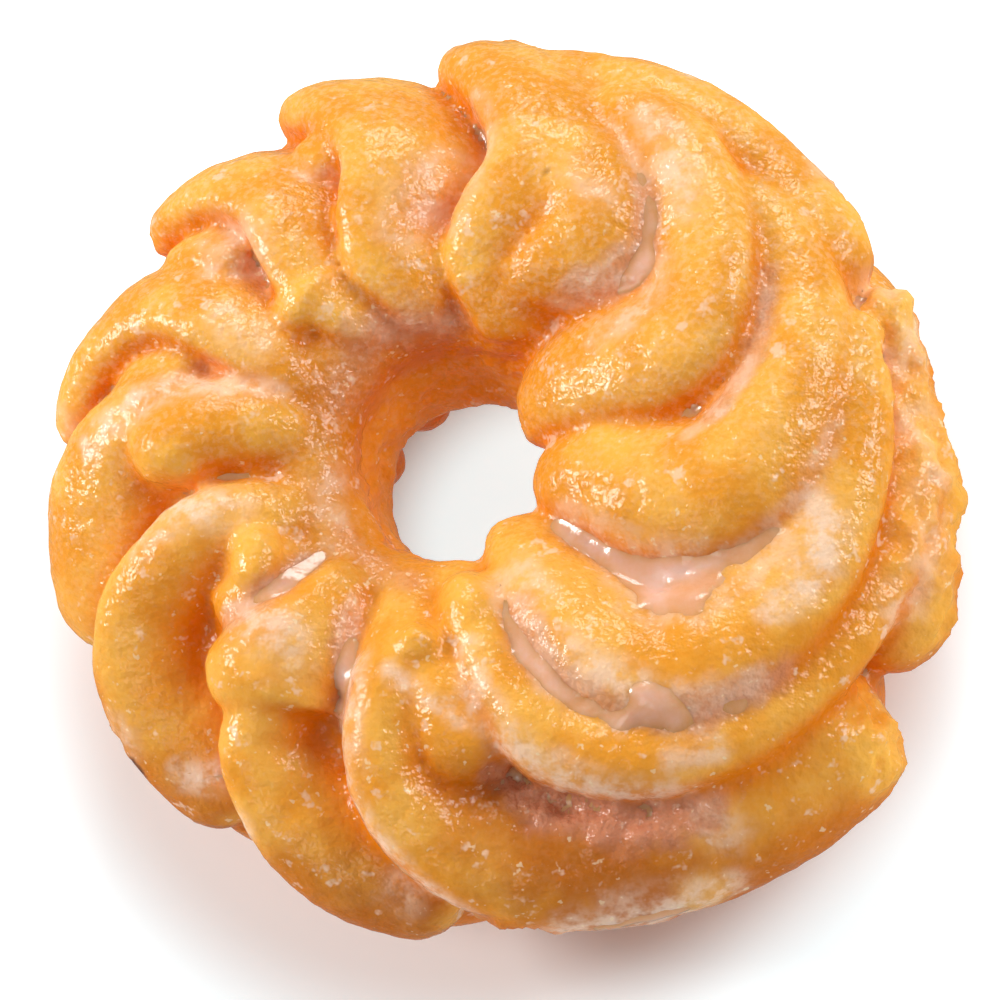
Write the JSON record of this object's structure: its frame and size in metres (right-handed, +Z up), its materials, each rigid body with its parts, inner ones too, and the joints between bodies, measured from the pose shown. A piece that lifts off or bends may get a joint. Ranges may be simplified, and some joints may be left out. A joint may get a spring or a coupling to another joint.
{
  "type": "cruller doughnut",
  "caption": "Glazed French cruller doughnut: a fried ring of twisted, fluted choux dough with a small round hole and a thin sugar glaze.",
  "frame": {"origin": "on the surface the cruller rests on, under the centre of its bounding box", "axes": "+Z up along the hole, the ring lies flat in XY; the widest, smoothest flutes lie towards +X and the short steep flutes towards -X and +Y"},
  "size_m": [0.0868, 0.0858, 0.0324],
  "materials": {
    "fried_choux_dough": "golden fried choux dough under a thin, wet-looking sugar glaze, crusty and bumpy"
  },
  "bodies": {
    "root": {"cruller": "fried_choux_dough"}
  },
  "joints": []
}
